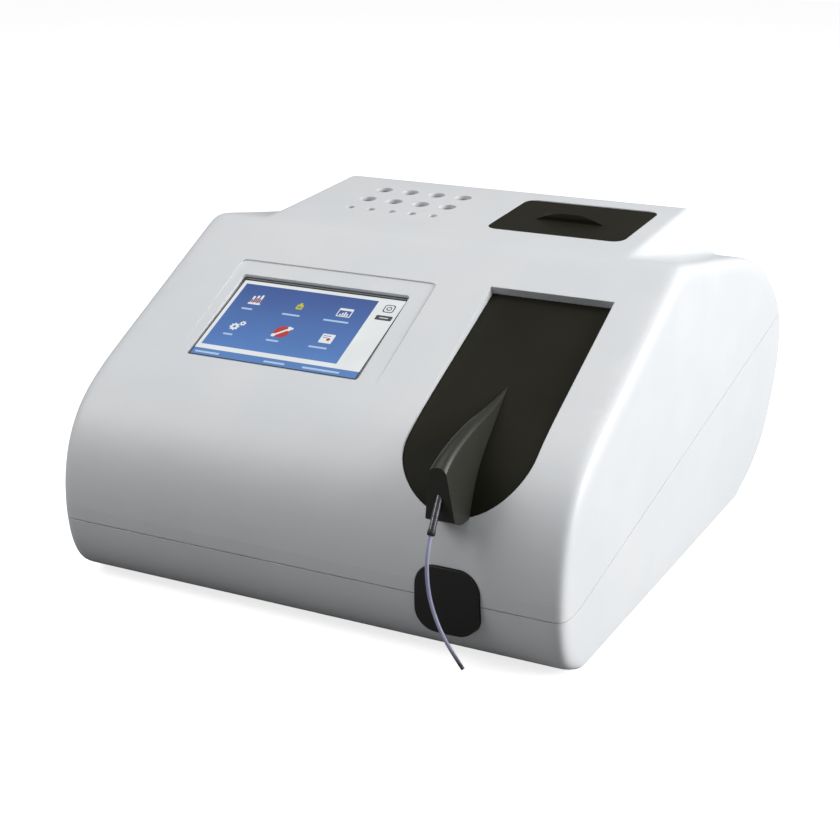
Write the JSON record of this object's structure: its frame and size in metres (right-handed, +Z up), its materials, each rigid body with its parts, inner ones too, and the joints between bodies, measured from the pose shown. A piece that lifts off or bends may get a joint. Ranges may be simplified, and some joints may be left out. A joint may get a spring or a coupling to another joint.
{
  "type": "benchtop chemistry analyzer",
  "caption": "Low moulded bench instrument with a slanted touch display, a black recess with a sipper and key, tube wells and a cuvette lid on a raised deck.",
  "frame": {"origin": "middle of the instrument's footprint box, without the hanging tube, on the plane that its feet stand on", "axes": "+X to the operator's right, +Y to the rear, +Z up"},
  "size_m": [0.34, 0.4449, 0.2119],
  "materials": {
    "housing_white": "fine satin grain",
    "panel_black": "satin",
    "key_black": "satin",
    "lid_black": "satin",
    "feet_rubber": "matt",
    "zinc_steel": "zinc plated",
    "bright_steel": "polished",
    "spring_steel": "drawn",
    "screen_glass": "clear glossy",
    "gasket_rubber": "matt",
    "module_plastic": "matt",
    "tube_plastic": "translucent",
    "clear_tube": "translucent",
    "inner_plastic": "matt",
    "cast_aluminium": "machined",
    "heater_film": "film",
    "cell_quartz": "clear",
    "lens_quartz": "clear",
    "ceramic_white": "matt",
    "filter_coating": "mirror coated",
    "board_green": "solder mask",
    "chip_black": "matt",
    "motor_steel": "plated",
    "pump_plastic": "satin",
    "painted_panel": "fine texture",
    "fan_black": "satin",
    "chrome_wire": "bright",
    "socket_black": "satin",
    "blade_brass": "plated",
    "rocker_black": "satin",
    "fitting_white": "satin"
  },
  "bodies": {
    "housing": {"upper_housing": "housing_white", "lower_housing": "housing_white", "rubber_feet": "feet_rubber", "housing_screws": "zinc_steel", "chassis_screws": "zinc_steel", "base_plate": "zinc_steel", "touch_glass": "screen_glass", "display_gasket": "gasket_rubber", "display_module": "module_plastic", "display_bracket": "zinc_steel", "recess_panel": "panel_black", "sipper_head": "panel_black", "sipper_sleeve": "bright_steel", "sipper_tube": "tube_plastic", "key_guide": "inner_plastic", "key_spring": "spring_steel", "key_sensor": "chip_black", "lid_hinge_pins": "bright_steel", "cuvette_bay": "inner_plastic", "incubator_block": "cast_aluminium", "heater_pad": "heater_film", "optical_bench": "cast_aluminium", "cell_holder": "cast_aluminium", "flow_cell": "cell_quartz", "peltier_module": "ceramic_white", "heat_sink": "cast_aluminium", "detector_board": "board_green", "filter_motor": "motor_steel", "lens_barrel": "cast_aluminium", "condenser_lens": "lens_quartz", "lamp_house": "cast_aluminium", "lamp_socket": "ceramic_white", "halogen_lamp": "cell_quartz", "pump_bracket": "zinc_steel", "pump_motor": "motor_steel", "pump_head": "pump_plastic", "pump_tubing": "clear_tube", "power_supply": "zinc_steel", "main_board": "board_green", "board_standoffs": "zinc_steel", "board_components": "chip_black", "rear_panel": "painted_panel", "fan_frame": "fan_black", "fan_guard": "chrome_wire", "power_inlet": "socket_black", "inlet_blades": "blade_brass", "switch_frame": "socket_black", "serial_port": "zinc_steel", "usb_port": "zinc_steel", "fuse_holder": "socket_black", "waste_fitting": "fitting_white"},
    "key": {"aspirate_key": "key_black", "key_clip": "spring_steel"},
    "lid": {"cuvette_lid": "lid_black"},
    "rocker": {"power_rocker": "rocker_black"},
    "fan": {"fan_rotor": "fan_black"},
    "filter_disc": {"filter_wheel": "cast_aluminium", "interference_filters": "filter_coating"},
    "pump_drive": {"pump_rotor": "pump_plastic"}
  },
  "joints": [
    {"name": "key_press", "type": "slide", "parent": "housing", "child": "key", "axis": [0, 1, 0], "range_m": [0, 0.003], "stiffness_N_per_m": 300, "springref_m": -0.002, "deforming": ["key_spring"]},
    {"name": "lid_hinge", "type": "hinge", "parent": "housing", "child": "lid", "pos_m": [0.06749, 0.08265, 0.20722], "axis": [-1, 0, 0], "range_deg": [0, 95]},
    {"name": "rocker_tip", "type": "hinge", "parent": "housing", "child": "rocker", "pos_m": [0.03801, 0.1887, 0.088], "axis": [-1, 0, 0], "range_deg": [0, 16]},
    {"name": "fan_spin", "type": "hinge", "parent": "housing", "child": "fan", "pos_m": [-0.06202, 0.1797, 0.069], "axis": [0, 1, 0], "continuous": true},
    {"name": "filter_turn", "type": "hinge", "parent": "housing", "child": "filter_disc", "pos_m": [0.0935, 0.07471, 0.136], "axis": [1, 0, 0], "continuous": true},
    {"name": "pump_spin", "type": "hinge", "parent": "housing", "child": "pump_drive", "pos_m": [0.095, -0.07131, 0.049], "axis": [0, 1, 0], "continuous": true}
  ]
}
